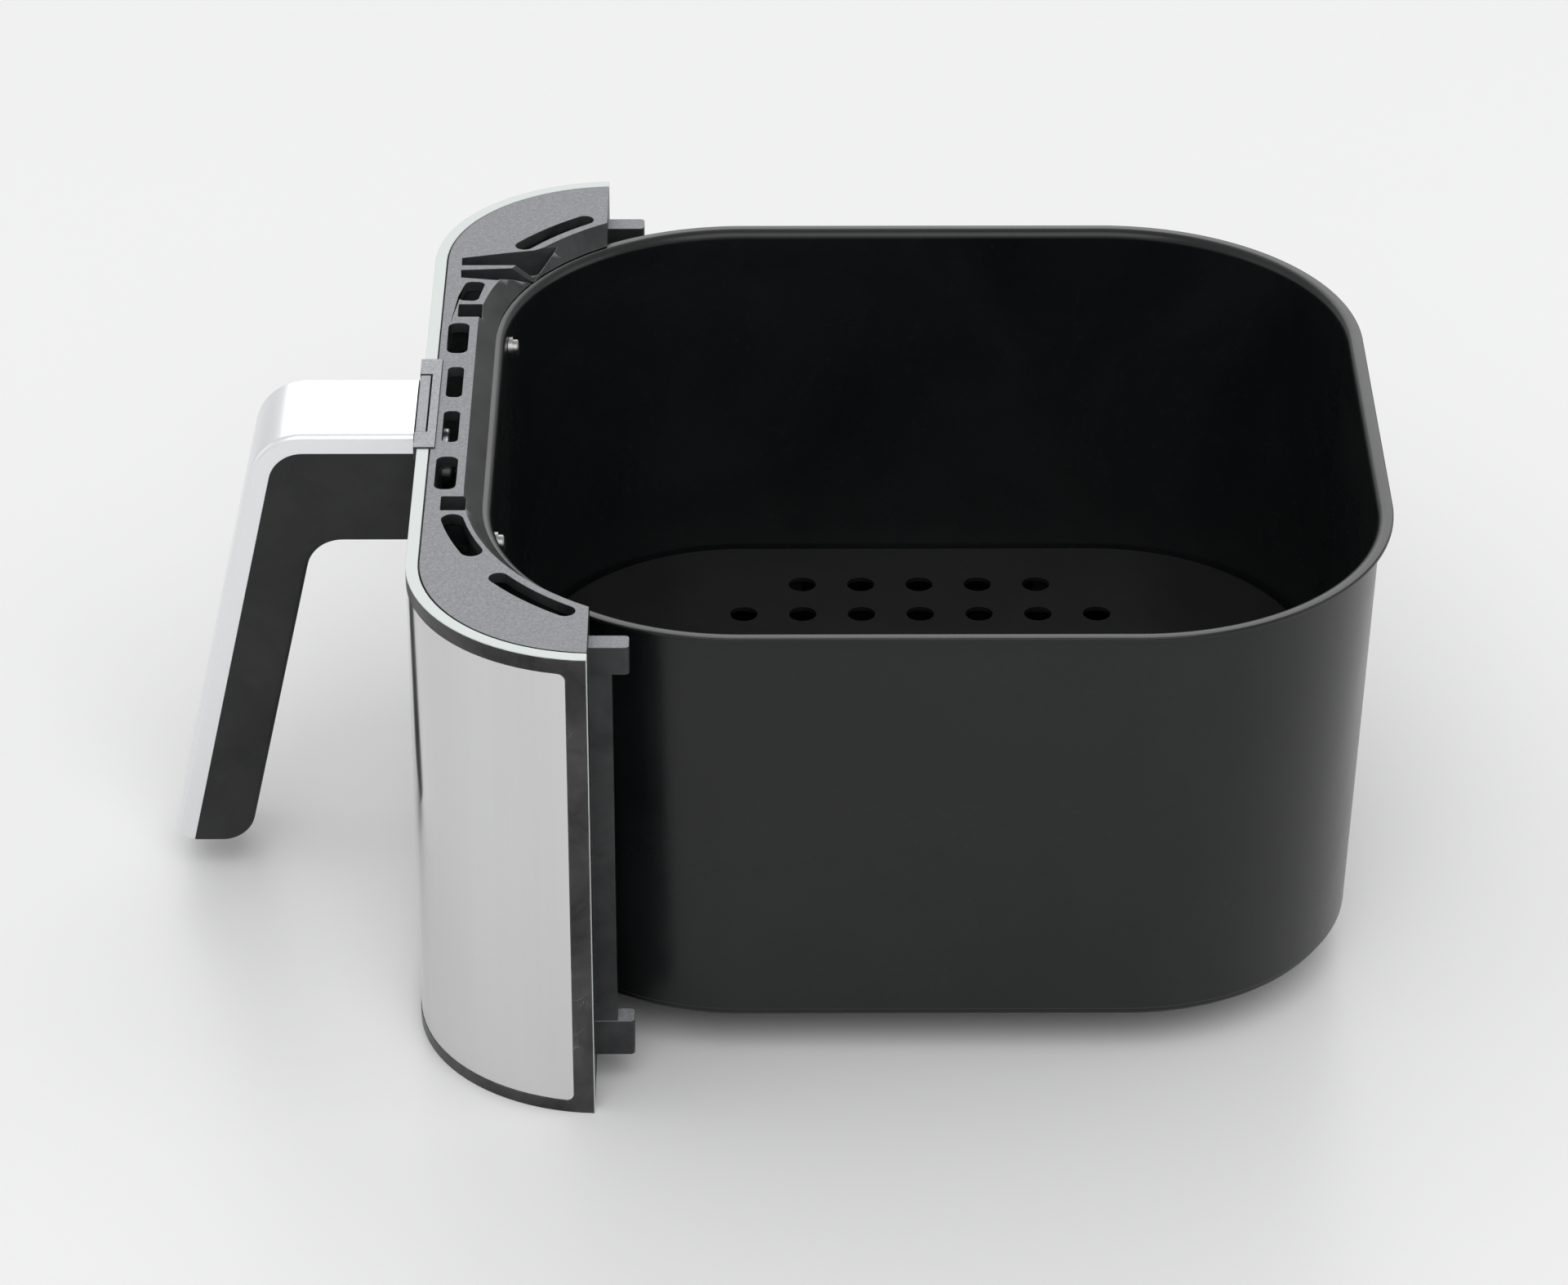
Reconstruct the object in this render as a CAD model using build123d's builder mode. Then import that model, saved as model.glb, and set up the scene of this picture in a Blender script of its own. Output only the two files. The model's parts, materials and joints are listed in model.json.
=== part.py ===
"""Pull-out drawer of an air fryer: a non-stick pan behind a steel-faced front panel with a hanging handle.

Frame: +Z up, X across the drawer, the handle towards -Y and the pan towards +Y.
The origin is the middle of the footprint, on the surface that the front panel stands on.
"""

from build123d import *
from math import atan2, cos, degrees, radians, sin, sqrt, tan
import os

# Driving sizes, in millimetres ------------------------------------------------------------
length = 330.0  # front of the handle's foot to the rear of the pan's lip
half_length = length / 2

# Pan, deep-drawn from sheet steel
rim_z = 134.0
lip_half_x = 116.5
lip_half_y = 121.25
lip_corner = 70.0
lip_width = 3.2
sheet = 1.2
draft = 2.2  # degrees, the wall leans in towards the base
seam_z = 15.0  # crease where the wall meets the stepped base
base_step = 1.4
base_round = 1.6
base_z = 12.0
floor_z = base_z + 1.5
floor_round = 4.0
rim_round = 0.4
lip_bend = 2.6  # inside bend of the lip; the outside bend is tighter by the sheet
plate_round = 0.5
pan_y = half_length - lip_half_y

clearance = 0.3

# Crisper plate, which lifts out of the pan
plate_top = 33.0
plate_gap = 2.0
skirt_depth = 8.0
vent_hole_r = 4.0
vent_pitch = 17.0
vent_rows = 5
finger_hole_r = 16.0
bumper_spread = 42.0
bumper_length = 16.0
bumper_skin = 0.8
bumper_depth = 5.2
bumper_chamfer = 5.0

# Front panel: shell, trim and steel plate
panel_front = -94.0
panel_end = -46.0
panel_half_x = 135.0
panel_corner = 50.0
panel_top = 139.0
plan_depth = 150.0
shell_wall = 3.2
shell_back = panel_front + shell_wall
facing = 1.0  # depth of the pocket that holds the trim and the steel plate
facing_top = panel_top - 0.4
trim_foot_bar = 3.5
trim_top_bar = 4.2
trim_end_bar = 5.4
trim_corner = 2.0
trim_end = panel_end - 0.2  # the shell just shows past the trim at its two ends
plate_setback = 0.15

# Inner cover
cover_foot = 2.0
cover_wall = 2.5
cover_roof = 3.0
roof_under = panel_top - cover_roof
lip_gap = 0.5
lip_back = pan_y - lip_half_y - lip_gap
eave_foot = rim_z + clearance  # the cover's bevel ends in an eave just above the lip
eave_reach = 1.9
bevel_run = 4.9
slot_arc_r = 78.0
seam_gap = 0.4  # dark line between the cover and the shell
seam_depth = 1.6
# Air slots: place, then size and corner round
long_slots = (((38.2, -85.6), (17.6, 5.6, 2.2)), ((12.6, -85.4), (17.2, 4.3, 1.6)))
end_slot_width = 5.2
# Degrees round the lip's corner, at +X and at -X
end_slot_turns = ((307.3, 325.2), (215.3, 232.2))
corner_slot_width = 5.8
corner_slot_turn = (282.6, 295.4)
corner_slot_inset = 0.8
four_sided_slot = ((-72.0, -84.6), (-71.6, -79.3), (-60.2, -81.2), (-61.0, -86.9))
four_sided_round = 1.8
notch_x = 54.6
notch_y = -82.95
notch_size = (7.4, 6.6)
notch_floor = 131.0
pocket_skin = 1.6  # walls and floor of the notches and of the channel, below the roof
pocket_foot = notch_floor - pocket_skin
channel_pocket = ((-88.6, -88.4), (-91.4, -74.0), (-93.2, -66.0), (-98.0, -58.0),
                  (-76.0, -62.0), (-71.2, -75.4), (-73.0, -88.4))
channel_wide = ((-86.5, -86.5), (-89.6, -74.0), (-91.2, -66.2),
                (-95.4, -60.0), (-82.1, -66.0), (-82.1, -86.4))
channel_narrow = ((-79.1, -86.5), (-79.8, -76.8), (-80.6, -66.0),
                  (-76.6, -72.0), (-72.9, -76.0), (-74.6, -86.3))
rail_x = 117.6
rail_width = 5.6
rail_foot = 16.0
rail_top = 126.0
rib_depth = 5.4
rib_overlap = 1.0
lug_depth = 10.4
lug_width = 6.2
lug_round = 1.2
lug_rows = ((9.0, 19.5), (rail_top, rim_z))

# Joint block and press tab at the top of the handle's root
block_half_x = 25.0
block_foot = 135.5
block_top = 139.5
block_front = -95.0
block_back = -89.2
body_half_x = 17.5
body_foot = 123.8
tab_half_x = 16.0
tab_back = -91.9
tab_foot = 134.3
tab_clearance = 0.1
tab_round = 0.4
tab_drop = 0.2  # how far the tab stands below the block
well_top = 132.0
well_foot = 126.5
well_r = 1.5
spring_x = 9.5
spring_y = -93.0
spring_r = 1.1
spring_wire = 0.2
spring_turns = 6

# Handle
handle_half_x = 16.5
handle_top = 138.2
handle_under = 105.7
handle_root = -95.2
handle_foot = 9.5
lean = radians(12.5)  # the leg slopes forwards as it goes down
cap_depth = 5.6
cap_skin = 1.8
core_depth = 8.4
core_sheet = 2.8
core_half_x = 11.3
core_end = 30.0
flange_front = -101.6
flange_back = -98.8
flange_foot = 108.0
leg_depth = 20.6
bend_r = 15.0
foot_front_r = 4.0
foot_back_r = 9.5
inner_bend_r = 10.0

# Fasteners and the plate behind the handle
screw_r = 2.0
head_r = 4.0
head_height = 3.4
boss_r = 4.5
boss_reach = 16.0
backing_half_x = 19.0
backing_foot = 106.0
backing_top = 134.5
pan_screw_x = 55.0
pan_screw_rows = (41.0, 127.0)
cover_screw_x = 40.0
cover_screw_rows = (22.0, 100.0)
cover_screw_r = 1.5
handle_screws_at = ((0, 127.0), (-9.0, 113.0), (9.0, 113.0))
grip_screw_rows = (45.0, 85.0)
grip_screw_r = 1.4
grip_boss_r = 3.2
grip_seat_depth = 3.0
core_clearance = 0.2
pan_head = (2.4, 1.7)  # radius and height of the heads
cover_head = (3.0, 2.0)
grip_head = (2.8, 1.9)
pan_screw_reach = 14.0
handle_screw_bite = 1.0
washer_r = 3.1
washer_stand = 0.9

beyond = 400.0  # longer than anything here, for cuts that run right through

os.makedirs("parts", exist_ok=True)


def finish(piece, name):
    """Labels a piece and writes its file."""
    piece.part.label = name
    export_step(piece.part, f"parts/{name}.step")


# Shared outlines and planes ---------------------------------------------------------------
def lip_plan(grow, mode=Mode.ADD):
    """Draws the plan of the pan's lip, grown outwards by grow, into the current sketch."""
    with Locations((0, pan_y)):
        RectangleRounded(2 * (lip_half_x + grow), 2 * (lip_half_y + grow), lip_corner + grow, mode=mode)


def panel_plan(inset, end=panel_end, mode=Mode.ADD):
    """Draws the U-shaped plan that the front panel lies within, inset from its outside."""
    with Locations((0, panel_front + inset + plan_depth / 2)):
        RectangleRounded(2 * (panel_half_x - inset), plan_depth, panel_corner - inset, mode=mode)
    if mode == Mode.ADD:
        with Locations((0, end + beyond / 2)):
            Rectangle(beyond, beyond, mode=Mode.SUBTRACT)


def window_outline(shrink):
    """Draws the window in the trim as seen from the side, smaller by shrink all round."""
    low = trim_foot_bar + shrink
    high = facing_top - trim_top_bar - shrink
    with Locations((panel_end - trim_end_bar - shrink - beyond / 2, (low + high) / 2)):
        RectangleRounded(beyond, high - low, trim_corner)


def box_between(low, high, mode=Mode.ADD):
    """Adds the box between two opposite corners to the current part."""
    size = [top - bottom for bottom, top in zip(low, high)]
    with Locations(low):
        Box(*size, align=(Align.MIN, Align.MIN, Align.MIN), mode=mode)


def facing_y(y):
    """A plane across the drawer at y whose normal points to -Y; its local axes are X and Z."""
    return Plane.XZ.offset(-y)


def mirrored_at(x, rows):
    """Places at both sides of the middle, on each row."""
    return Locations(*[(side * x, row) for side in (-1, 1) for row in rows])


def leg_y(z, depth=0.0):
    """Y at height z of the leg's front face, or of a line that lies depth behind it."""
    round_y = -half_length - foot_front_r * (1 / cos(lean) - 1)
    return round_y + (z - handle_foot - foot_front_r) * tan(lean) + depth / cos(lean)


def leg_plane(z, depth=0.0):
    """A plane depth behind the leg's front face, level with z there; its normal points into the leg."""
    facing_in = Vector(0, cos(lean), -sin(lean))
    return Plane(origin=Vector(0, leg_y(z), z) + facing_in * depth, x_dir=(1, 0, 0), z_dir=facing_in)


def handle_band(near, far, root, foot):
    """Draws the bent strip of the handle between two depths below its top and front faces."""
    sides = []
    with BuildLine() as strip:
        for depth in (near, far):
            level = handle_top - depth
            side = [(root, level), (leg_y(level, depth), level), (leg_y(foot, depth), foot)]
            FilletPolyline(*side, radius=bend_r - depth)
            sides.append(side)
        Line(sides[0][0], sides[1][0])
        Line(sides[0][-1], sides[1][-1])
    make_face(strip.edges())


# Pan --------------------------------------------------------------------------------------
with BuildPart() as pan_outside:
    with BuildSketch(Plane.XY.offset(rim_z)):
        lip_plan(-lip_width)
    extrude(amount=-(rim_z - seam_z), taper=draft)
    with BuildSketch(Plane.XY.offset(seam_z)):
        lip_plan(-lip_width - (rim_z - seam_z) * tan(radians(draft)) - base_step)
    extrude(amount=base_z - seam_z)
    fillet(faces().sort_by(Axis.Z)[0].edges(), radius=base_round)

with BuildPart() as pan_inside:
    with BuildSketch(Plane.XY.offset(rim_z)):
        lip_plan(-lip_width - sheet)
    extrude(amount=-(rim_z - floor_z), taper=draft)
    fillet(faces().sort_by(Axis.Z)[0].edges(), radius=floor_round)

with BuildPart() as pan:
    add(pan_outside.part)
    with BuildSketch(Plane.XY.offset(rim_z)):
        lip_plan(0)
    extrude(amount=-sheet)
    add(pan_inside.part, mode=Mode.SUBTRACT)
    under_lip = faces().filter_by(lambda face: abs(face.center().Z - (rim_z - sheet)) < 0.01)[0]
    fillet(under_lip.inner_wires()[0].edges(), radius=lip_bend - sheet)
    fillet(faces().sort_by(Axis.Z)[-1].inner_wires()[0].edges(), radius=lip_bend)
    fillet(faces().sort_by(Axis.Z)[-1].outer_wire().edges(), radius=rim_round)
    with BuildSketch(facing_y(panel_end)):
        with mirrored_at(pan_screw_x, pan_screw_rows):
            Circle(screw_r)
    extrude(amount=lip_half_y, mode=Mode.SUBTRACT)
finish(pan, "pan")

# Crisper plate and its bumpers -------------------------------------------------------------
plate_inset = lip_width + sheet + (rim_z - plate_top) * tan(radians(draft)) + plate_gap
skirt_x = lip_half_x - plate_inset
skirt_foot = plate_top - skirt_depth

with BuildPart() as crisper_plate:
    with BuildSketch(Plane.XY.offset(plate_top)):
        lip_plan(-plate_inset)
    extrude(amount=-skirt_depth)
    fillet(faces().sort_by(Axis.Z)[-1].edges(), radius=plate_round)
    with BuildSketch(Plane.XY.offset(plate_top - sheet)):
        lip_plan(-plate_inset - sheet)
    extrude(amount=-skirt_depth, mode=Mode.SUBTRACT)
    with BuildSketch(Plane.XY.offset(plate_top)):
        with Locations((0, pan_y)):
            Circle(finger_hole_r)
        for i in range(-vent_rows, vent_rows + 1):
            for j in range(-vent_rows, vent_rows + 1):
                clear_of_finger_hole = i * i + j * j > 2
                clear_of_corner = abs(i) + abs(j) <= vent_rows + 2
                if clear_of_finger_hole and clear_of_corner:
                    with Locations((i * vent_pitch, pan_y + j * vent_pitch)):
                        Circle(vent_hole_r)
    extrude(amount=-2 * sheet, mode=Mode.SUBTRACT)
finish(crisper_plate, "crisper_plate")


def crisper_bumper(side, middle_y):
    """One silicone foot, clipped up over the plate's skirt on the given side."""
    outside = side * (skirt_x + bumper_skin)
    inside = side * (skirt_x - bumper_depth)
    low = floor_z + clearance + tab_clearance
    high = plate_top - sheet
    with BuildPart() as bumper:
        with BuildSketch(facing_y(middle_y + bumper_length / 2)):
            with BuildLine():
                Polyline(
                    (inside, low),
                    (inside, high),
                    (outside - side * bumper_skin, high),
                    (outside, high - bumper_skin),
                    (outside, low + bumper_chamfer),
                    (outside - side * bumper_chamfer, low),
                    close=True,
                )
            make_face()
        extrude(amount=bumper_length)
        with BuildSketch(Plane.XY.offset(skirt_foot)):
            with Locations((side * (skirt_x - sheet / 2), middle_y)):
                Rectangle(sheet, 2 * bumper_length)
        extrude(amount=skirt_depth, mode=Mode.SUBTRACT)
    return bumper


bumper_places = [(side, pan_y + shift * bumper_spread) for side in (-1, 1) for shift in (-1, 1)]
for number, (side, middle_y) in enumerate(bumper_places, start=1):
    finish(crisper_bumper(side, middle_y), f"crisper_bumper_{number}")

# Inner cover -------------------------------------------------------------------------------
corner_x = lip_half_x - lip_corner
corner_y = pan_y - lip_half_y + lip_corner

with BuildPart() as inner_cover:
    with BuildSketch(Plane.XY.offset(cover_foot)):
        panel_plan(shell_wall)
        lip_plan(lip_gap, mode=Mode.SUBTRACT)
    extrude(amount=panel_top - cover_foot)
    with BuildSketch(Plane.XY.offset(cover_foot + cover_wall)):
        panel_plan(shell_wall, end=panel_end - cover_wall)
        lip_plan(lip_gap + cover_wall, mode=Mode.SUBTRACT)
    extrude(amount=roof_under - cover_foot - cover_wall, mode=Mode.SUBTRACT)
    with BuildSketch(Plane.XY.offset(eave_foot)):
        lip_plan(lip_gap + pocket_skin)
        lip_plan(-eave_reach, mode=Mode.SUBTRACT)
        with Locations((0, panel_end + beyond / 2)):
            Rectangle(beyond, beyond, mode=Mode.SUBTRACT)
    extrude(amount=panel_top - eave_foot)
    with BuildSketch(Plane.XY.offset(eave_foot)):
        lip_plan(-eave_reach)
    bevel_height = panel_top - eave_foot
    extrude(amount=bevel_height, taper=-degrees(atan2(bevel_run, bevel_height)), mode=Mode.SUBTRACT)
    # Rails at the two ends, which run in the housing
    for side in (-1, 1):
        with BuildSketch(Plane.XY.offset(rail_foot)):
            with Locations((side * rail_x, panel_end + rib_depth / 2)):
                Rectangle(rail_width, rib_depth + rib_overlap)
        extrude(amount=rail_top - rail_foot)
        for low, high in lug_rows:
            with BuildSketch(Plane.XY.offset(low)):
                with Locations((side * rail_x, panel_end + lug_depth / 2 - rib_overlap)):
                    RectangleRounded(lug_width, lug_depth + 2 * rib_overlap, lug_round)
            extrude(amount=high - low)
    # Bosses that reach the pan's front wall
    with BuildSketch(facing_y(lip_back - cover_wall)):
        with mirrored_at(pan_screw_x, pan_screw_rows):
            Circle(boss_r)
    extrude(amount=-boss_reach)
    add(pan_outside.part, mode=Mode.SUBTRACT)
    with BuildSketch(facing_y(lip_back + boss_reach)):
        with mirrored_at(pan_screw_x, pan_screw_rows):
            Circle(screw_r)
        with mirrored_at(cover_screw_x, cover_screw_rows):
            Circle(cover_screw_r)
    extrude(amount=2 * boss_reach, mode=Mode.SUBTRACT)
    # Walls and floors under the notches and the channel
    with BuildSketch(Plane.XY.offset(pocket_foot)):
        with Locations((-notch_x, notch_y), (notch_x, notch_y)):
            Rectangle(notch_size[0] + 2 * pocket_skin, notch_size[1] + 2 * pocket_skin)
        with BuildLine():
            Polyline(*channel_pocket, close=True)
        make_face()
        lip_plan(lip_gap, mode=Mode.SUBTRACT)
    extrude(amount=roof_under - pocket_foot)
    # Air slots through the top face
    with BuildSketch(Plane.XY.offset(pocket_foot - pocket_skin)):
        for (x, y), (size_x, size_y, corner) in long_slots:
            with Locations((x, y), (-x, y)):
                RectangleRounded(size_x, size_y, corner)
        for side, turn in zip((1, -1), end_slot_turns):
            SlotArc(Edge.make_circle(slot_arc_r, Plane((side * corner_x, corner_y)), *turn), end_slot_width)
        corner_arc_r = slot_arc_r - corner_slot_inset
        corner_line = Edge.make_circle(corner_arc_r, Plane((corner_x, corner_y)), *corner_slot_turn)
        SlotArc(corner_line, corner_slot_width)
        with BuildLine():
            FilletPolyline(*four_sided_slot, radius=four_sided_round, close=True)
        make_face()
    extrude(amount=panel_top, mode=Mode.SUBTRACT)
    # Blind notches, and the forked channel, which also opens through the bevel towards the pan
    with BuildSketch(Plane.XY.offset(notch_floor)):
        with Locations((-notch_x, notch_y), (notch_x, notch_y)):
            RectangleRounded(*notch_size, rim_round)
        for outline in (channel_wide, channel_narrow):
            with BuildLine():
                Polyline(*outline, close=True)
            make_face()
    extrude(amount=panel_top, mode=Mode.SUBTRACT)
    # Seam along the shell
    with BuildSketch(Plane.XY.offset(panel_top - seam_depth)):
        panel_plan(shell_wall)
        panel_plan(shell_wall + seam_gap, mode=Mode.SUBTRACT)
    extrude(amount=seam_depth, mode=Mode.SUBTRACT)
    # Seat of the joint block
    box_between((-block_half_x, 2 * panel_front, block_foot), (block_half_x, block_back, beyond),
                mode=Mode.SUBTRACT)
finish(inner_cover, "inner_cover")

# Outer shell -------------------------------------------------------------------------------
with BuildPart() as outer_shell:
    with BuildSketch():
        panel_plan(0)
        panel_plan(shell_wall, mode=Mode.SUBTRACT)
    extrude(amount=panel_top)
    with BuildSketch():
        panel_plan(0, end=trim_end)
        panel_plan(facing, mode=Mode.SUBTRACT)
    extrude(amount=facing_top, mode=Mode.SUBTRACT)
    # Posts that the cover's screws bite into
    with BuildSketch(facing_y(shell_back)):
        with mirrored_at(cover_screw_x, cover_screw_rows):
            Circle(boss_r)
            Circle(cover_screw_r, mode=Mode.SUBTRACT)
    extrude(amount=shell_back + cover_wall - lip_back)
    with BuildSketch(facing_y(0)):
        with Locations(*handle_screws_at):
            Circle(screw_r)
    extrude(amount=-2 * panel_front, mode=Mode.SUBTRACT)
    box_between((-block_half_x, 2 * panel_front, block_foot), (block_half_x, 0, beyond), mode=Mode.SUBTRACT)
    box_between((-body_half_x, 2 * panel_front, body_foot), (body_half_x, 0, beyond), mode=Mode.SUBTRACT)
finish(outer_shell, "outer_shell")

# Trim frame and steel plate ----------------------------------------------------------------
with BuildPart() as trim_frame:
    with BuildSketch():
        panel_plan(0, end=trim_end)
        panel_plan(facing, mode=Mode.SUBTRACT)
    extrude(amount=facing_top)
    with BuildSketch(Plane.YZ.offset(-beyond / 2)):
        window_outline(0)
    extrude(amount=beyond, mode=Mode.SUBTRACT)
    box_between((-body_half_x, 2 * panel_front, handle_under), (body_half_x, 0, beyond), mode=Mode.SUBTRACT)
    box_between((-block_half_x, 2 * panel_front, block_foot), (block_half_x, 0, beyond), mode=Mode.SUBTRACT)
finish(trim_frame, "trim_frame")

with BuildPart() as steel_plate:
    with BuildSketch():
        panel_plan(plate_setback)
        panel_plan(facing, mode=Mode.SUBTRACT)
    extrude(amount=facing_top)
    with BuildSketch(Plane.YZ.offset(-beyond / 2)):
        window_outline(plate_setback)
    extrude(amount=beyond, mode=Mode.INTERSECT)
    box_between((-body_half_x, 2 * panel_front, handle_under - clearance), (body_half_x, 0, beyond),
                mode=Mode.SUBTRACT)
finish(steel_plate, "steel_plate")

# Joint block, press tab and springs --------------------------------------------------------
with BuildPart() as joint_block:
    box_between((-block_half_x, block_front, block_foot), (block_half_x, block_back, block_top))
    box_between((-body_half_x, block_front, body_foot), (body_half_x, shell_back, block_foot))
    box_between((-tab_half_x - clearance, 2 * block_front, well_top),
                (tab_half_x + clearance, tab_back + clearance, beyond), mode=Mode.SUBTRACT)
    with BuildSketch(Plane.XY.offset(well_foot)):
        with Locations((-spring_x, spring_y), (spring_x, spring_y)):
            Circle(well_r)
    extrude(amount=well_top - well_foot, mode=Mode.SUBTRACT)
    with BuildSketch(facing_y(0)):
        with Locations(handle_screws_at[0]):
            Circle(screw_r)
    extrude(amount=beyond, mode=Mode.SUBTRACT)
finish(joint_block, "joint_block")

with BuildPart() as press_tab:
    tab_front = block_front + tab_clearance
    box_between((-tab_half_x, tab_front, tab_foot), (tab_half_x, tab_back, block_top - tab_drop))
    fillet(edges().group_by(Axis.Z)[-1], radius=tab_round)
finish(press_tab, "press_tab")

spring_low = well_foot + spring_wire
spring_pitch = (tab_foot - tab_clearance - spring_wire - spring_low) / spring_turns
with BuildPart() as tab_springs:
    for x in (-spring_x, spring_x):
        with BuildLine():
            coil = Helix(spring_pitch, spring_turns * spring_pitch, spring_r, (x, spring_y, spring_low))
        with BuildSketch(Plane(origin=coil @ 0, z_dir=coil % 0)):
            Circle(spring_wire)
        sweep(is_frenet=True)
finish(tab_springs, "tab_springs")

# Handle ------------------------------------------------------------------------------------
with BuildPart() as handle_outside:
    with BuildSketch(Plane.YZ.offset(-handle_half_x)):
        with BuildLine():
            FilletPolyline(
                (handle_root, handle_top),
                (leg_y(handle_top), handle_top),
                (leg_y(handle_foot), handle_foot),
                (leg_y(handle_foot, leg_depth), handle_foot),
                (leg_y(handle_under, leg_depth), handle_under),
                (handle_root, handle_under),
                radius=(bend_r, foot_front_r, foot_back_r, inner_bend_r),
            )
            Line((handle_root, handle_under), (handle_root, handle_top))
        make_face()
    extrude(amount=2 * handle_half_x)

with BuildPart() as handle_cap:
    with BuildSketch(Plane.YZ.offset(-handle_half_x)):
        handle_band(0, cap_depth, handle_root, 0)
    extrude(amount=2 * handle_half_x)
    add(handle_outside.part, mode=Mode.INTERSECT)
    with BuildSketch(Plane.YZ.offset(-core_half_x - 1)):
        handle_band(cap_skin, cap_depth, handle_root - cap_skin, handle_foot + foot_back_r)
    extrude(amount=2 * core_half_x + 2, mode=Mode.SUBTRACT)
    for row in grip_screw_rows:
        with BuildSketch(leg_plane(row, cap_skin)):
            Circle(grip_boss_r)
            Circle(grip_screw_r, mode=Mode.SUBTRACT)
        extrude(amount=core_depth - core_sheet - cap_skin)
finish(handle_cap, "handle_cap")

with BuildPart() as handle_grip:
    add(handle_outside.part)
    with BuildSketch(Plane.YZ.offset(-handle_half_x)):
        handle_band(0, cap_depth, handle_root, 0)
    extrude(amount=2 * handle_half_x, mode=Mode.SUBTRACT)
    box_between((-handle_half_x, handle_root, handle_under), (handle_half_x, panel_front + facing, body_foot))
    with BuildSketch(Plane.YZ.offset(-core_half_x - core_clearance)):
        handle_band(cap_depth, core_depth, flange_front, core_end - core_clearance)
    extrude(amount=2 * (core_half_x + core_clearance), mode=Mode.SUBTRACT)
    box_between((-core_half_x - core_clearance, flange_front - core_sheet, flange_foot - core_clearance),
                (core_half_x + core_clearance, flange_back, handle_top - cap_depth), mode=Mode.SUBTRACT)
    with BuildSketch(facing_y(0)):
        with Locations(*handle_screws_at):
            Circle(screw_r)
    extrude(amount=-flange_back, mode=Mode.SUBTRACT)
    for row in grip_screw_rows:
        with BuildSketch(leg_plane(row, core_depth - core_sheet)):
            Circle(grip_screw_r)
        extrude(amount=leg_depth, mode=Mode.SUBTRACT)
        with BuildSketch(leg_plane(row, leg_depth - grip_seat_depth)):
            Circle(grip_boss_r)
        extrude(amount=leg_depth, mode=Mode.SUBTRACT)
finish(handle_grip, "handle_grip")

with BuildPart() as handle_core:
    with BuildSketch(Plane.YZ.offset(-core_half_x)):
        handle_band(core_depth - core_sheet, core_depth, flange_back, core_end)
    extrude(amount=2 * core_half_x)
    flange_top = handle_top - core_depth
    box_between((-core_half_x, flange_front, flange_foot), (core_half_x, flange_back, flange_top))
    with BuildSketch(facing_y(0)):
        with Locations(*handle_screws_at):
            Circle(screw_r)
    extrude(amount=beyond, mode=Mode.SUBTRACT)
    for row in grip_screw_rows:
        with BuildSketch(leg_plane(row)):
            Circle(grip_screw_r)
        extrude(amount=leg_depth, mode=Mode.SUBTRACT)
finish(handle_core, "handle_core")

with BuildPart() as backing_plate:
    with BuildSketch(facing_y(shell_back)):
        with Locations((0, (backing_foot + backing_top) / 2)):
            RectangleRounded(2 * backing_half_x, backing_top - backing_foot, 3)
        with Locations(*handle_screws_at):
            Circle(screw_r, mode=Mode.SUBTRACT)
    extrude(amount=shell_back - block_back)
finish(backing_plate, "backing_plate")


# Fasteners ---------------------------------------------------------------------------------
def pan_wall_y(x, z):
    """Y of the inside of the pan's front wall near a corner."""
    round_r = lip_corner - lip_width - sheet - (rim_z - z) * tan(radians(draft))
    return corner_y - sqrt(round_r**2 - (abs(x) - corner_x) ** 2)


def across_at(y, x, z):
    """A plane at one point that faces the front of the drawer."""
    return Plane(origin=(x, y, z), x_dir=(1, 0, 0), z_dir=(0, -1, 0))


def cross_head_screw(place, shank_r, shank_length, top_r, top_height):
    """One screw: its shank runs along the plane's normal and its head stands behind the plane."""
    outer_end = Plane(origin=place.origin - place.z_dir * top_height, x_dir=place.x_dir, z_dir=place.z_dir)
    with BuildPart() as one:
        with BuildSketch(outer_end):
            Circle(top_r)
        extrude(amount=top_height)
        rim = edges().filter_by(GeomType.CIRCLE).sort_by_distance(outer_end.origin)[0]
        fillet(rim, radius=top_height * 0.45)
        with BuildSketch(outer_end):
            Rectangle(top_r, top_r / 4)
            Rectangle(top_r / 4, top_r)
        extrude(amount=top_height / 2, mode=Mode.SUBTRACT)
        with BuildSketch(place):
            Circle(shank_r)
        extrude(amount=shank_length)
    return one.part.solid()


def finish_group(solids, name):
    """Writes one node that holds several separate solids."""
    with BuildPart() as group:
        add(solids)
    finish(group, name)


pan_points = [(side * pan_screw_x, row) for side in (-1, 1) for row in pan_screw_rows]
washers = []
for x, z in pan_points:
    with BuildPart() as washer:
        with BuildSketch(across_at(pan_wall_y(x, z) + washer_stand, x, z)):
            Circle(washer_r)
            Circle(screw_r, mode=Mode.SUBTRACT)
        extrude(amount=2 * washer_stand)
        add(pan.part, mode=Mode.SUBTRACT)
        add(inner_cover.part, mode=Mode.SUBTRACT)
        washers.append(washer.part.solids().sort_by(Axis.Y)[-1])
finish_group(washers, "pan_washers")

pan_seats = [across_at(pan_wall_y(x, z) + washer_stand, x, z) for x, z in pan_points]
pan_solids = [cross_head_screw(seat, screw_r, pan_screw_reach, *pan_head) for seat in pan_seats]
finish_group(pan_solids, "pan_screws")

handle_seats = [across_at(block_back, x, z) for x, z in handle_screws_at]
handle_reach = block_back - flange_front + handle_screw_bite
handle_solids = [cross_head_screw(seat, screw_r, handle_reach, head_r, head_height) for seat in handle_seats]
finish_group(handle_solids, "handle_screws")

cover_points = [(side * cover_screw_x, row) for side in (-1, 1) for row in cover_screw_rows]
cover_seats = [across_at(lip_back, x, z) for x, z in cover_points]
cover_reach = lip_back - shell_back
cover_solids = [cross_head_screw(seat, cover_screw_r, cover_reach, *cover_head) for seat in cover_seats]
finish_group(cover_solids, "cover_screws")

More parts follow.
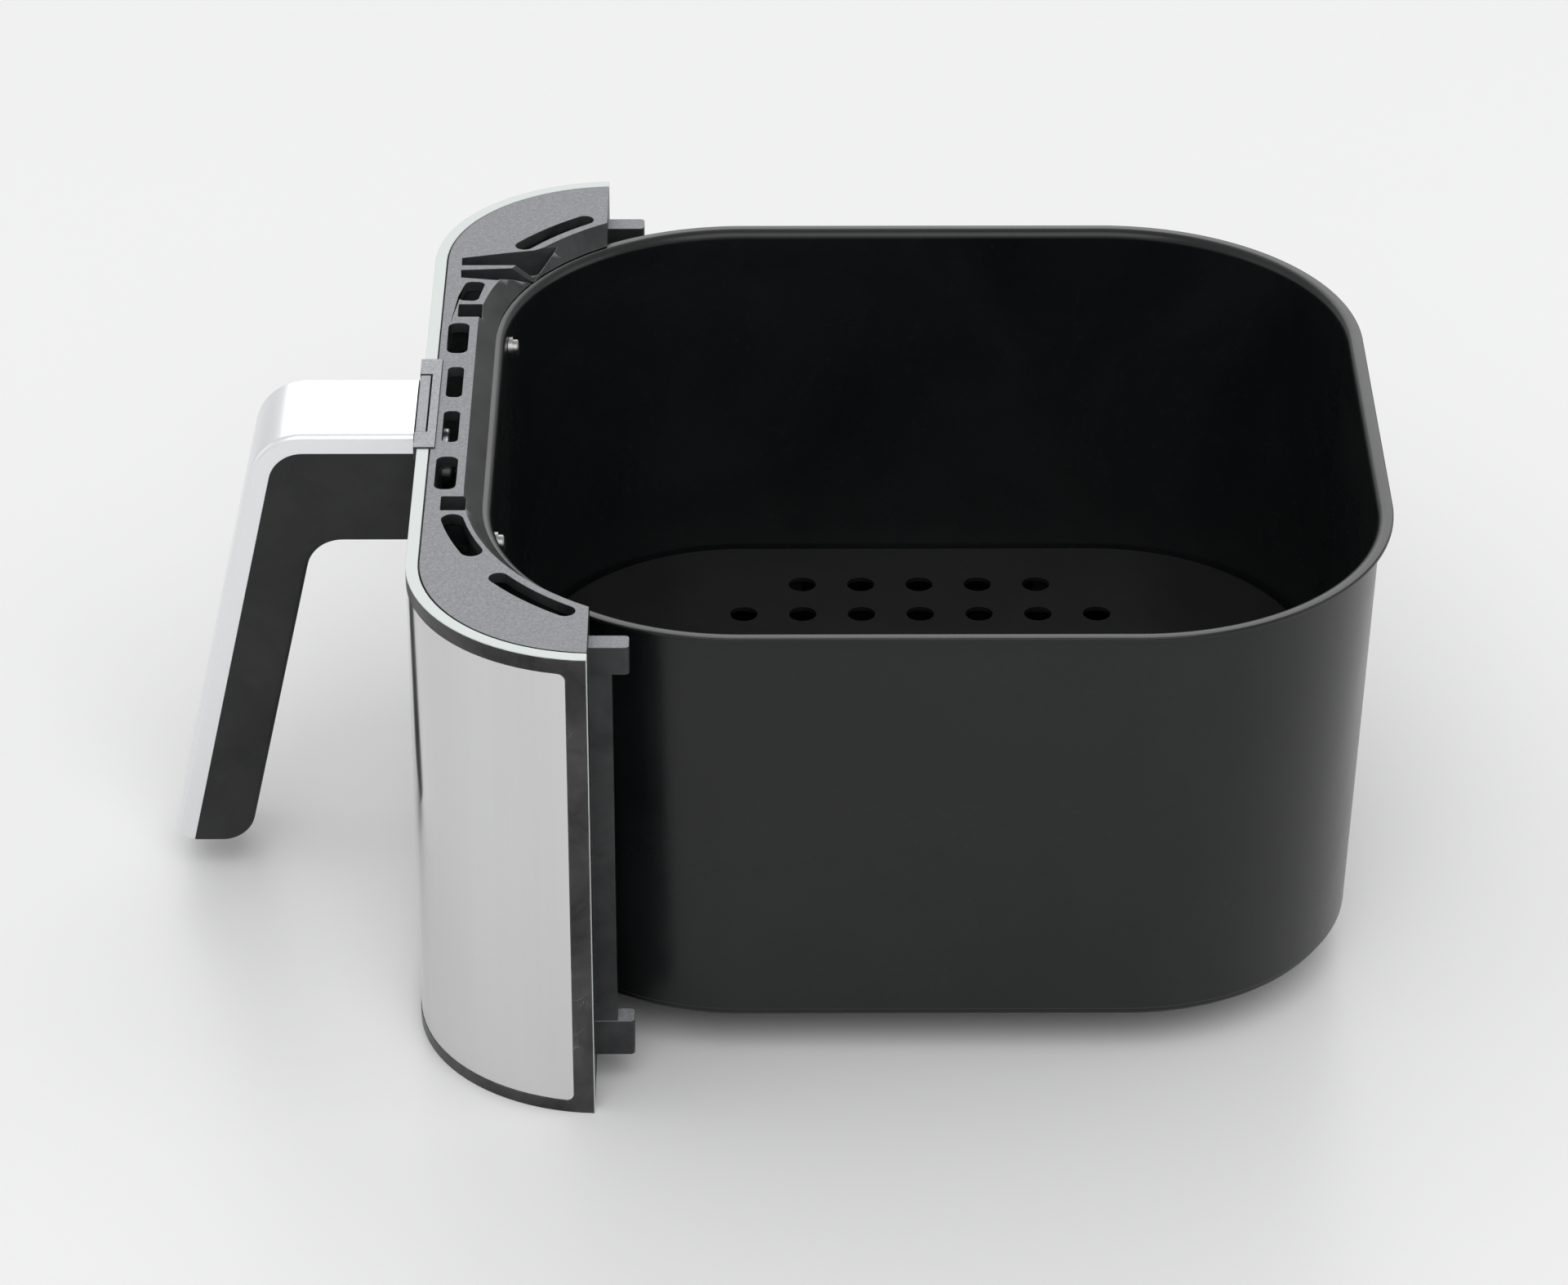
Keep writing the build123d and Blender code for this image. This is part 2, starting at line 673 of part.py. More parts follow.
grip_seats = []
for row in grip_screw_rows:
    seat = leg_plane(row, leg_depth - grip_seat_depth)
    grip_seats.append(Plane(origin=seat.origin, x_dir=(1, 0, 0), z_dir=-seat.z_dir))
grip_reach = leg_depth - grip_seat_depth - cap_skin
grip_solids = [cross_head_screw(seat, grip_screw_r, grip_reach, *grip_head) for seat in grip_seats]
finish_group(grip_solids, "grip_screws")
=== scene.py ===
import json
import math

import bmesh
import bpy
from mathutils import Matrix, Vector

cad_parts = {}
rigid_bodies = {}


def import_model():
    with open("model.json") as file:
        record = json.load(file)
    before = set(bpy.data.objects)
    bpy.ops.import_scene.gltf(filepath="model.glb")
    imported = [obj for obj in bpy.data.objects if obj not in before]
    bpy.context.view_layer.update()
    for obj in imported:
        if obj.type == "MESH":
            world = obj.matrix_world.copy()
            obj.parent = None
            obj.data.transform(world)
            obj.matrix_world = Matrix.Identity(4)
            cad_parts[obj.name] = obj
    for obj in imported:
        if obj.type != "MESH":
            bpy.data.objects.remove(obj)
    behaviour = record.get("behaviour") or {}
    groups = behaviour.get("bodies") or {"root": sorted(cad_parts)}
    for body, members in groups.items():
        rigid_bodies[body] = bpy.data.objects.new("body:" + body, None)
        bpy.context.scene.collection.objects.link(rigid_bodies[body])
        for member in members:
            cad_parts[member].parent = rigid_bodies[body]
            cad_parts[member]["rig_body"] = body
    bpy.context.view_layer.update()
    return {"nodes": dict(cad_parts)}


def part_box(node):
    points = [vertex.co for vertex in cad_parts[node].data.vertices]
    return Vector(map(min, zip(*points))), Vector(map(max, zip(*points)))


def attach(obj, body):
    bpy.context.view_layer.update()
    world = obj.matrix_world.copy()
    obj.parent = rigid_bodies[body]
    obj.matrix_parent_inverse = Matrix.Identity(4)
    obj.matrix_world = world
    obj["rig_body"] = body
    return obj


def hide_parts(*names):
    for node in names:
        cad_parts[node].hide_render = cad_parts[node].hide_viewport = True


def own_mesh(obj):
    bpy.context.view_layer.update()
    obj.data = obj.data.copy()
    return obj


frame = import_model()
nodes = frame["nodes"]

bl_info = {
    "name": "Basket drawer",
    "version": (1, 0, 0),
    "blender": (4, 5, 0),
    "location": "3D View > Sidebar > Drawer",
    "description": "Builds the finished look of a countertop fryer's basket drawer round its frame",
    "category": "Object",
}

mm = 0.001
# points nearer than this are merged
weld_gap = 0.002 * mm
# degrees: faces are joined below the first, and edges are soft below the second
flat_turn = 0.3
soft_turn = 28.0
# nearly all the values of a noise lie between these two
noise_low, noise_high = 0.3, 0.7


# Sizes and colours -------------------------------------------------------------------------
def length_setting(name, description, default):
    """A length that the sidebar shows, in metres."""
    return bpy.props.FloatProperty(name=name, description=description, default=default, min=0.0,
                                   precision=5, unit="LENGTH")


def colour_setting(name, description, default):
    """A colour that the sidebar shows."""
    return bpy.props.FloatVectorProperty(name=name, description=description, default=default, min=0.0,
                                         max=1.0, size=3, subtype="COLOR")


class DrawerSizes(bpy.types.PropertyGroup):
    """Lengths that set how crisp or soft the pieces look."""

    moulding_edge: length_setting("Moulding edge", "Rounding along moulded pieces' edges", 0.15 * mm)
    metal_edge: length_setting("Metal edge", "Rounding along the cap's other edges", 0.25 * mm)
    cap_round: length_setting("Cap rounding", "Rounding of the aluminium cap's outer edges", 1.6 * mm)
    grip_round: length_setting("Grip rounding", "Rounding of the grip's inner edges", 1.3 * mm)
    lip_roll: length_setting("Lip roll", "Radius where the pan's wall bends out into its lip", 2.6 * mm)
    lip_edge: length_setting("Lip edge", "Rounding of the lip's outer edge", 0.4 * mm)
    base_crease: length_setting("Base crease", "Rounding where the wall steps in to the base", 0.45 * mm)
    floor_half: length_setting("Floor", "Half the width of the studio floor", 6.0)


class DrawerColours(bpy.types.PropertyGroup):
    """Colours of the finishes."""

    coat: colour_setting("Pan coat", "Non-stick coat of the pan", (0.0044, 0.0052, 0.0058))
    plate: colour_setting("Plate coat", "Non-stick coat of the crisper plate", (0.006, 0.006, 0.0065))
    rubber: colour_setting("Bumpers", "Silicone of the bumpers", (0.02, 0.02, 0.021))
    cover: colour_setting("Cover", "Moulding behind the front panel", (0.0105, 0.0118, 0.0135))
    strip: colour_setting("Strip", "Pale moulding round the panel", (0.66, 0.71, 0.69))
    trim: colour_setting("Trim", "Black trim round the steel plate", (0.0045, 0.004, 0.0043))
    steel: colour_setting("Steel", "Brushed plate on the front", (0.68, 0.68, 0.685))
    aluminium: colour_setting("Aluminium", "Cap along the handle", (0.88, 0.89, 0.9))
    grip: colour_setting("Grip", "Moulded grip of the handle", (0.008, 0.0086, 0.0095))
    block: colour_setting("Joint", "Joint block and press tab", (0.024, 0.0255, 0.028))
    zinc: colour_setting("Zinc", "Zinc plated steel inside", (0.55, 0.56, 0.58))
    bright: colour_setting("Screws", "Bright screws of the pan", (0.3, 0.3, 0.295))
    floor: colour_setting("Floor", "Studio floor", (0.83, 0.83, 0.835))


# Shader helpers ----------------------------------------------------------------------------
class Tree:
    """Adds nodes to one node tree and joins them up."""

    def __init__(self, tree):
        self.tree = tree

    def add(self, kind, inputs=None, **settings):
        """Adds one node; an input is a socket of another node, or a value."""
        made = self.tree.nodes.new(kind)
        for name, value in settings.items():
            setattr(made, name, value)
        for name, value in (inputs or {}).items():
            if isinstance(value, bpy.types.NodeSocket):
                self.tree.links.new(value, made.inputs[name])
            else:
                made.inputs[name].default_value = value
        return made

    def math(self, operation, first, second=0.0, third=0.0, clamp=False):
        """One sum of one to three values."""
        sockets = {0: first, 1: second, 2: third}
        made = self.add("ShaderNodeMath", sockets, operation=operation, use_clamp=clamp)
        return made.outputs[0]

    def fit(self, value, low, high, to_low=0.0, to_high=1.0):
        """Takes low..high to to_low..to_high, and holds it there."""
        sockets = {"Value": value, "From Min": low, "From Max": high,
                   "To Min": to_low, "To Max": to_high}
        return self.add("ShaderNodeMapRange", sockets).outputs["Result"]

    def blend(self, share, first, second):
        """Mixes two colours."""
        made = self.add("ShaderNodeMix", data_type="RGBA")
        for index, value in ((0, share), (6, first), (7, second)):
            if isinstance(value, bpy.types.NodeSocket):
                self.tree.links.new(value, made.inputs[index])
            elif index == 0:
                made.inputs[index].default_value = value
            else:
                made.inputs[index].default_value = (*value, 1.0)[:4]
        return made.outputs[2]

    def stretched(self, scale):
        """The piece's own coordinates, scaled along each axis."""
        place = self.add("ShaderNodeTexCoord").outputs["Object"]
        return self.add("ShaderNodeMapping", {"Vector": place, "Scale": scale}).outputs["Vector"]

    def noise(self, scale, vector=None, detail=4.0, roughness=0.5, distortion=0.0):
        """Noise on the piece's own coordinates, scale in cycles per metre."""
        if vector is None:
            vector = self.add("ShaderNodeTexCoord").outputs["Object"]
        sockets = {"Vector": vector, "Scale": scale, "Detail": detail, "Roughness": roughness,
                   "Distortion": distortion}
        return self.add("ShaderNodeTexNoise", sockets).outputs["Fac"]


def effect(name, inputs, outputs):
    """Starts a shader node group; gives its tree, its input node and its output node."""
    group = bpy.data.node_groups.new(name, "ShaderNodeTree")
    for label, default in inputs:
        socket = group.interface.new_socket(label, in_out="INPUT", socket_type="NodeSocketFloat")
        socket.default_value = default
    for label in outputs:
        group.interface.new_socket(label, in_out="OUTPUT", socket_type="NodeSocketFloat")
    tree = Tree(group)
    return tree, tree.add("NodeGroupInput").outputs, tree.add("NodeGroupOutput").inputs


def make_edge_wear():
    """Mask along outside edges, broken up by noise."""
    settings = (("Width", 0.6 * mm), ("Strength", 1.0), ("Breakup", 900.0))
    tree, given, out = effect("Edge wear", settings, ("Mask",))
    rounded = tree.add("ShaderNodeBevel", {"Radius": given["Width"]}, samples=6).outputs["Normal"]
    true = tree.add("ShaderNodeNewGeometry").outputs["True Normal"]
    product = tree.add("ShaderNodeVectorMath", {0: rounded, 1: true}, operation="DOT_PRODUCT")
    turned = tree.fit(tree.math("SUBTRACT", 1.0, product.outputs["Value"]), low=0.02, high=0.25)
    broken = tree.fit(tree.noise(given["Breakup"], detail=5.0, roughness=0.65), low=0.38, high=0.62)
    mask = tree.math("MULTIPLY", tree.math("MULTIPLY", turned, broken), given["Strength"], clamp=True)
    tree.tree.links.new(mask, out["Mask"])
    return tree.tree


def make_grain():
    """Fine moulded or sprayed grain, and slow mottling over the piece."""
    settings = (("Fine", 2600.0), ("Broad", 60.0))
    tree, given, out = effect("Grain", settings, ("Height", "Mottle", "Speck"))
    fine = tree.noise(given["Fine"], detail=3.0, roughness=0.6)
    broad = tree.noise(given["Broad"], detail=6.0, roughness=0.62, distortion=0.6)
    coarser = tree.math("MULTIPLY", given["Fine"], 0.4)
    speck = tree.fit(tree.noise(coarser, detail=2.0), low=0.6, high=0.72)
    for value, socket in ((fine, "Height"), (broad, "Mottle"), (speck, "Speck")):
        tree.tree.links.new(value, out[socket])
    return tree.tree


def make_scuffs():
    """Thin scratches that run two ways, gathered in patches."""
    thread_width, patch_top, patch_edge = 0.006, 0.8, 0.1
    tree, given, out = effect("Scuffs", (("Scale", 40.0), ("Cover", 0.3)), ("Mask",))
    lines = []
    for scale in ((1.0, 14.0, 1.6), (9.0, 1.2, 1.1)):
        place = tree.stretched(scale)
        thread = tree.noise(given["Scale"], place, detail=1.0)
        away = tree.math("ABSOLUTE", tree.math("SUBTRACT", thread, 0.5))
        lines.append(tree.fit(away, 0.0, thread_width, to_low=1.0, to_high=0.0))
    patch = tree.noise(tree.math("MULTIPLY", given["Scale"], 0.5), detail=3.0)
    low = tree.math("SUBTRACT", patch_top, given["Cover"])
    gathered = tree.fit(patch, low, tree.math("ADD", low, patch_edge))
    mask = tree.math("MULTIPLY", tree.math("MAXIMUM", *lines), gathered)
    tree.tree.links.new(mask, out["Mask"])
    return tree.tree


def make_brushing():
    """Fine parallel brush lines; the three rates are cycles per metre along each axis."""
    rates = (("Across X", 3000.0), ("Across Y", 3000.0), ("Along Z", 30.0))
    tree, given, out = effect("Brushing", rates, ("Height", "Shade"))
    place = tree.add("ShaderNodeTexCoord").outputs["Object"]
    along = {"X": given["Across X"], "Y": given["Across Y"], "Z": given["Along Z"]}
    rate = tree.add("ShaderNodeCombineXYZ", along)
    product = tree.add("ShaderNodeVectorMath", {0: place, 1: rate.outputs[0]}, operation="MULTIPLY")
    drawn = product.outputs[0]
    fine = tree.noise(1.0, drawn, detail=3.0, roughness=0.7)
    wide = tree.noise(0.12, drawn, detail=2.0)
    tree.tree.links.new(fine, out["Height"])
    fine_share, wide_share = 0.6, 0.4
    mixed = tree.math("MULTIPLY_ADD", fine, fine_share, tree.math("MULTIPLY", wide, wide_share))
    tree.tree.links.new(mixed, out["Shade"])
    return tree.tree


def make_dust_and_painted_top_light():
    """Mask of fine dust that settles on faces that look up; where the amount is large it is painted top
    light, which pales the faces that the light falls on.
    """
    settings = (("Amount", 0.3), ("Scale", 500.0), ("Least lift", 0.3))
    tree, given, out = effect("Dust and painted top light", settings, ("Mask",))
    normal = tree.add("ShaderNodeNewGeometry").outputs["Normal"]
    lift = tree.add("ShaderNodeSeparateXYZ", {"Vector": normal}).outputs["Z"]
    facing = tree.fit(lift, given["Least lift"], high=0.98)
    cloud = tree.fit(tree.noise(given["Scale"], detail=8.0, roughness=0.75), low=0.0, high=0.9)
    mask = tree.math("MULTIPLY", tree.math("MULTIPLY", facing, cloud), given["Amount"], clamp=True)
    tree.tree.links.new(mask, out["Mask"])
    return tree.tree


EFFECT_MAKERS = {"wear": make_edge_wear, "grain": make_grain, "scuffs": make_scuffs,
                 "brushing": make_brushing, "dust_and_painted_top_light": make_dust_and_painted_top_light}


def effects():
    """The shared effects, each built once."""
    for key, maker in EFFECT_MAKERS.items():
        if key not in effects.made:
            effects.made[key] = maker()
    return effects.made


effects.made = {}


def use(tree, key, **values):
    """Places a shared effect in a material and gives its outputs."""
    placed = tree.add("ShaderNodeGroup", node_tree=effects()[key])
    for name, value in values.items():
        placed.inputs[name.replace("_", " ")].default_value = value
    return placed.outputs


def begin(name):
    """A new material with an empty surface; gives the material, its tree and its shader."""
    material = bpy.data.materials.new(name)
    material.use_nodes = True
    tree = Tree(material.node_tree)
    shader = material.node_tree.nodes["Principled BSDF"]
    return material, tree, shader


def shade(tree, shader, colour, rough, bump_height=None, bump_depth=0.0, bump_strength=0.5):
    """Feeds a shader its colour, roughness and bump."""
    tree.tree.links.new(colour, shader.inputs["Base Color"])
    tree.tree.links.new(rough, shader.inputs["Roughness"])
    if bump_height is not None:
        sockets = {"Height": bump_height, "Distance": bump_depth, "Strength": bump_strength}
        bump = tree.add("ShaderNodeBump", sockets)
        tree.tree.links.new(bump.outputs["Normal"], shader.inputs["Normal"])


def lighter(colour, share):
    """A colour moved towards white."""
    return tuple(part + (1.0 - part) * share for part in colour)


def darker(colour, share):
    """A colour moved towards black."""
    return tuple(part * (1.0 - share) for part in colour)


def cooler(colour):
    """A colour with a little more blue in it."""
    return tuple(part * share for part, share in zip(colour, (0.96, 0.985, 1.04)))


# Finishes ----------------------------------------------------------------------------------
def moulded(name, colour, rough, fine, depth, wear, scuffs, dust_and_painted_top_light, mottle=0.25, specular=0.5,
            dust_and_painted_top_light_pale=0.35):
    """Moulded plastic or rubber: grain, pale worn edges, scuffs, and chalky dust on top faces, which at
    a large amount is painted top light.
    """
    speck_share, speck_pale = 0.12, 0.04
    scuff_share, scuff_pale = 0.5, 0.4
    worn_pale, worn_gloss = 0.22, 0.12
    rough_sway, dust_and_painted_top_light_matt = 0.06, 0.4
    material, tree, shader = begin(name)
    grain = use(tree, "grain", Fine=fine, Broad=45.0)
    tone = tree.fit(grain["Mottle"], noise_low, noise_high)
    surface = tree.blend(tone, darker(colour, mottle), lighter(colour, 0.12 * mottle))
    specks = tree.math("MULTIPLY", grain["Speck"], speck_share)
    surface = tree.blend(specks, surface, lighter(colour, speck_pale))
    worn = use(tree, "wear", Width=0.5 * mm, Strength=wear, Breakup=700.0)["Mask"]
    surface = tree.blend(worn, surface, lighter(colour, worn_pale))
    marks = use(tree, "scuffs", Scale=90.0, Cover=scuffs)["Mask"]
    scuffed = tree.math("MULTIPLY", marks, scuff_share)
    surface = tree.blend(scuffed, surface, lighter(colour, scuff_pale))
    # paler top faces: a little fine dust, and painted light from above where the amount is large (grey
    # and dark mouldings)
    dust_and_painted_top_light_mask = use(tree, "dust_and_painted_top_light", Amount=dust_and_painted_top_light, Scale=1300.0, Least_lift=0.8)["Mask"]
    surface = tree.blend(dust_and_painted_top_light_mask, surface, cooler(lighter(colour, dust_and_painted_top_light_pale)))
    sway = (rough - rough_sway, rough + rough_sway)
    slow = tree.fit(grain["Mottle"], noise_low, noise_high, *sway)
    dust_and_painted_top_light_rough = tree.math("MULTIPLY_ADD", dust_and_painted_top_light_mask, dust_and_painted_top_light_matt, slow)
    polish = tree.math("MULTIPLY", worn, worn_gloss)
    roughness = tree.math("SUBTRACT", dust_and_painted_top_light_rough, polish, clamp=True)
    shade(tree, shader, surface, roughness, grain["Height"], depth)
    shader.inputs["Specular IOR Level"].default_value = specular
    return material


def coated(name, colour, rough, dust_and_painted_top_light, specular):
    """Satin non-stick coat: a soft orange peel, a slow change of gloss and a little dust."""
    mottle_dark, mottle_pale = 0.12, 0.004
    speck_share, speck_pale = 0.15, 0.02
    worn_pale, dust_pale = 0.12, 0.08
    rough_sway, dust_and_painted_top_light_matt = 0.04, 0.4
    peel_depth, peel_strength = 0.02 * mm, 0.35
    material, tree, shader = begin(name)
    grain = use(tree, "grain", Fine=1500.0, Broad=14.0)
    tone = tree.fit(grain["Mottle"], noise_low, noise_high)
    surface = tree.blend(tone, darker(colour, mottle_dark), lighter(colour, mottle_pale))
    specks = tree.math("MULTIPLY", grain["Speck"], speck_share)
    surface = tree.blend(specks, surface, lighter(colour, speck_pale))
    worn = use(tree, "wear", Width=0.4 * mm, Strength=0.25, Breakup=1200.0)["Mask"]
    surface = tree.blend(worn, surface, lighter(colour, worn_pale))
    dust_and_painted_top_light_mask = use(tree, "dust_and_painted_top_light", Amount=dust_and_painted_top_light, Scale=650.0)["Mask"]
    surface = tree.blend(dust_and_painted_top_light_mask, surface, lighter(colour, dust_pale))
    sway = (rough - rough_sway, rough + rough_sway)
    slow = tree.fit(grain["Mottle"], noise_low, noise_high, *sway)
    dulling = tree.math("MULTIPLY", dust_and_painted_top_light_mask, dust_and_painted_top_light_matt)
    roughness = tree.math("ADD", slow, dulling, clamp=True)
    shade(tree, shader, surface, roughness, grain["Height"], peel_depth, peel_strength)
    shader.inputs["Specular IOR Level"].default_value = specular
    return material


def metal(name, colour, rough, rates, depth, shade_share=0.12):
    """Brushed or satin metal with fine lines drawn across it."""
    smudge_dark, smudge_matt = 0.4, 0.12
    worn_pale, line_matt, line_strength = 0.5, 0.05, 0.4
    material, tree, shader = begin(name)
    drawn = use(tree, "brushing", Across_X=rates[0], Across_Y=rates[1], Along_Z=rates[2])
    cloud = use(tree, "grain", Fine=2000.0, Broad=22.0)
    tone = tree.fit(drawn["Shade"], noise_low, noise_high)
    surface = tree.blend(tone, darker(colour, shade_share), lighter(colour, shade_share))
    smudge = tree.fit(cloud["Mottle"], low=0.35, high=0.7, to_high=0.35)
    smudges = tree.math("MULTIPLY", smudge, shade_share)
    surface = tree.blend(smudges, surface, darker(colour, smudge_dark))
    worn = use(tree, "wear", Width=0.4 * mm, Strength=0.1, Breakup=900.0)["Mask"]
    surface = tree.blend(worn, surface, lighter(colour, worn_pale))
    smudged = tree.math("MULTIPLY_ADD", smudge, smudge_matt, rough - 0.04)
    roughness = tree.math("MULTIPLY_ADD", tone, line_matt, smudged)
    shade(tree, shader, surface, roughness, drawn["Height"], depth, line_strength)
    shader.inputs["Metallic"].default_value = 1.0
    return material


# slot: maker, name, name of the colour, settings
FINISHES = {
    "nonstick_coat": (coated, "Non-stick coat", "coat", {
        "rough": 0.27, "dust_and_painted_top_light": 0.04, "specular": 0.36}),
    "nonstick_plate": (coated, "Plate coat", "plate", {
        "rough": 0.42, "dust_and_painted_top_light": 0.08, "specular": 0.4}),
    "silicone": (moulded, "Silicone", "rubber", {
        "rough": 0.62, "fine": 1800.0, "depth": 0.03 * mm, "wear": 0.1, "scuffs": 0.0, "dust_and_painted_top_light": 0.12}),
    # large amount and pale share: painted top light that makes the cover's top faces paler, with a
    # little dust
    "grey_moulding": (moulded, "Grey moulding", "cover", {
        "rough": 0.42, "fine": 3000.0, "depth": 0.05 * mm, "wear": 0.3, "scuffs": 0.05, "dust_and_painted_top_light": 0.95,
        "mottle": 0.3, "specular": 0.27, "dust_and_painted_top_light_pale": 0.5}),
    "pale_moulding": (moulded, "Pale moulding", "strip", {
        "rough": 0.45, "fine": 2400.0, "depth": 0.03 * mm, "wear": 0.2, "scuffs": 0.1, "dust_and_painted_top_light": 0.1,
        "mottle": 0.08}),
    "black_trim": (moulded, "Black trim", "trim", {
        "rough": 0.3, "fine": 900.0, "depth": 0.12 * mm, "wear": 1.0, "scuffs": 0.2, "dust_and_painted_top_light": 0.1,
        "mottle": 0.4, "specular": 0.35}),
    "brushed_skin": (metal, "Brushed steel", "steel", {
        "rough": 0.12, "rates": (2600.0, 2600.0, 7.0), "depth": 0.003 * mm, "shade_share": 0.03}),
    # large amount and pale share: painted top light that makes the block's and tab's top faces paler,
    # with a little dust
    "dark_moulding": (moulded, "Dark moulding", "block", {
        "rough": 0.4, "fine": 3000.0, "depth": 0.04 * mm, "wear": 0.3, "scuffs": 0.05, "dust_and_painted_top_light": 0.95,
        "mottle": 0.25, "specular": 0.3, "dust_and_painted_top_light_pale": 0.7}),
    "spring_wire": (metal, "Spring wire", "bright", {
        "rough": 0.25, "rates": (900.0, 900.0, 900.0), "depth": 0.004 * mm}),
    "satin_aluminium": (metal, "Satin aluminium", "aluminium", {
        "rough": 0.34, "rates": (12.0, 2600.0, 2600.0), "depth": 0.001 * mm, "shade_share": 0.02}),
    "grip_moulding": (moulded, "Grip moulding", "grip", {
        "rough": 0.5, "fine": 3200.0, "depth": 0.03 * mm, "wear": 0.06, "scuffs": 0.0, "dust_and_painted_top_light": 0.02,
        "mottle": 0.12, "specular": 0.32}),
    "zinc_steel": (metal, "Zinc steel", "zinc", {
        "rough": 0.38, "rates": (700.0, 700.0, 700.0), "depth": 0.01 * mm, "shade_share": 0.16}),
    "bright_steel": (metal, "Bright steel", "bright", {
        "rough": 0.3, "rates": (500.0, 500.0, 500.0), "depth": 0.003 * mm, "shade_share": 0.06}),
}


def finish_of(slot):
    """The material of a slot, built the first time that it is asked for."""
    if slot not in finish_of.made:
        maker, name, colour, settings = FINISHES[slot]
        colours = bpy.context.scene.drawer_colours
        finish_of.made[slot] = maker(name, tuple(getattr(colours, colour)), **settings)
    return finish_of.made[slot]


finish_of.made = {}


# Shape helpers -----------------------------------------------------------------------------
def piece_from(bm, name):
    """Turns a bmesh into a smooth-shaded object and frees it."""
    mesh = bpy.data.meshes.new(name)
    bm.to_mesh(mesh)
    bm.free()
    for face in mesh.polygons:
        face.use_smooth = True
    piece = bpy.data.objects.new(name, mesh)
    bpy.context.scene.collection.objects.link(piece)
    return piece


def eased_copy(node, edge, segments=2, chosen=None, radius=0.0):
    """A merged copy of a frame piece, with its edges rounded by edge and the chosen ones by radius."""
    bm = bmesh.new()
    bm.from_mesh(nodes[node].data)
    bmesh.ops.remove_doubles(bm, verts=bm.verts, dist=weld_gap)
    bmesh.ops.dissolve_limit(bm, angle_limit=math.radians(flat_turn), verts=bm.verts, edges=bm.edges)
    if chosen is not None:
        bm.normal_update()
        corners = [part for part in bm.edges if len(part.link_faces) == 2 and chosen(part)]
        bmesh.ops.bevel(bm, geom=corners, offset=radius, offset_type="OFFSET", segments=6,
                        profile=0.5, affect="EDGES", material=-1)
    piece = piece_from(bm, node + "_skin")
    piece.data.set_sharp_from_angle(angle=math.radians(soft_turn))
    if edge > 0:
        bevel = piece.modifiers.new("Edge", "BEVEL")
        bevel.width = edge
        bevel.segments = segments
        bevel.limit_method = "ANGLE"
        bevel.angle_limit = math.radians(soft_turn)
        bevel.use_clamp_overlap = False
        bevel.harden_normals = True
    return piece


def frame_body(node):
    """The body that a frame piece rides on."""
    return nodes[node]["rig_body"]


def dress(piece, slot, body, *stands_for):
    """Gives a finished piece its material, its body and the frame pieces that it stands for."""
    piece.data.materials.clear()
    piece.data.materials.append(finish_of(slot))
    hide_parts(*stands_for)
    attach(piece, body)


def dress_frame(node, slot):
    """Gives a frame piece that keeps its shape a detailed material."""
    mesh = nodes[node].data
    mesh.materials.clear()
    mesh.materials.append(finish_of(slot))


def rounded_face(bm, half_x, half_y, corner, middle, height, steps):
    """A level rounded rectangle as one face."""
    square = bmesh.ops.create_grid(bm, x_segments=1, y_segments=1, size=1.0)["verts"]
    bmesh.ops.scale(bm, vec=(half_x, half_y, 1.0), verts=square)
    bmesh.ops.translate(bm, vec=(middle[0], middle[1], height), verts=square)
    bmesh.ops.bevel(bm, geom=square, offset=corner, offset_type="OFFSET", segments=steps, profile=0.5,
                    affect="VERTICES", material=-1)
    return max(bm.faces, key=lambda face: face.calc_area())


def outwards(place, middle, straight):
    """The way out of a rounded rectangle, in plan, at a point on its outline."""
    away = []
    for part, centre, half in zip(place, middle, straight):
        offset = part - centre
        away.append(math.copysign(max(abs(offset) - half, 0.0), offset))
    return Vector((*away, 0.0)).normalized()


def run_profile(bm, edges, profile, middle, straight):
    """Extrudes an outline through (inset, height) points, the first of which it stands at."""
    for (last_inset, _), (inset, height) in zip(profile, profile[1:]):
        grown = bmesh.ops.extrude_edge_only(bm, edges=edges)["geom"]
        fresh = {part for part in grown if isinstance(part, bmesh.types.BMVert)}
        for vert in fresh:
            vert.co += outwards(vert.co, middle, straight) * (last_inset - inset)
            vert.co.z = height
        drawn = [part for part in grown if isinstance(part, bmesh.types.BMEdge)]
        edges = [edge for edge in drawn if fresh.issuperset(edge.verts)]
    return edges


# places on an arc of a profile, in degrees; 0 is on the inside
at_top, at_outside, at_bottom = 90, 180, 270


def arc(centre, radius, start, stop, steps):
    """Points of an arc in a profile."""
    turns = [math.radians(start + (stop - start) * step / steps) for step in range(steps + 1)]
    inset, height = centre
    return [(inset + radius * math.cos(turn), height + radius * math.sin(turn)) for turn in turns]


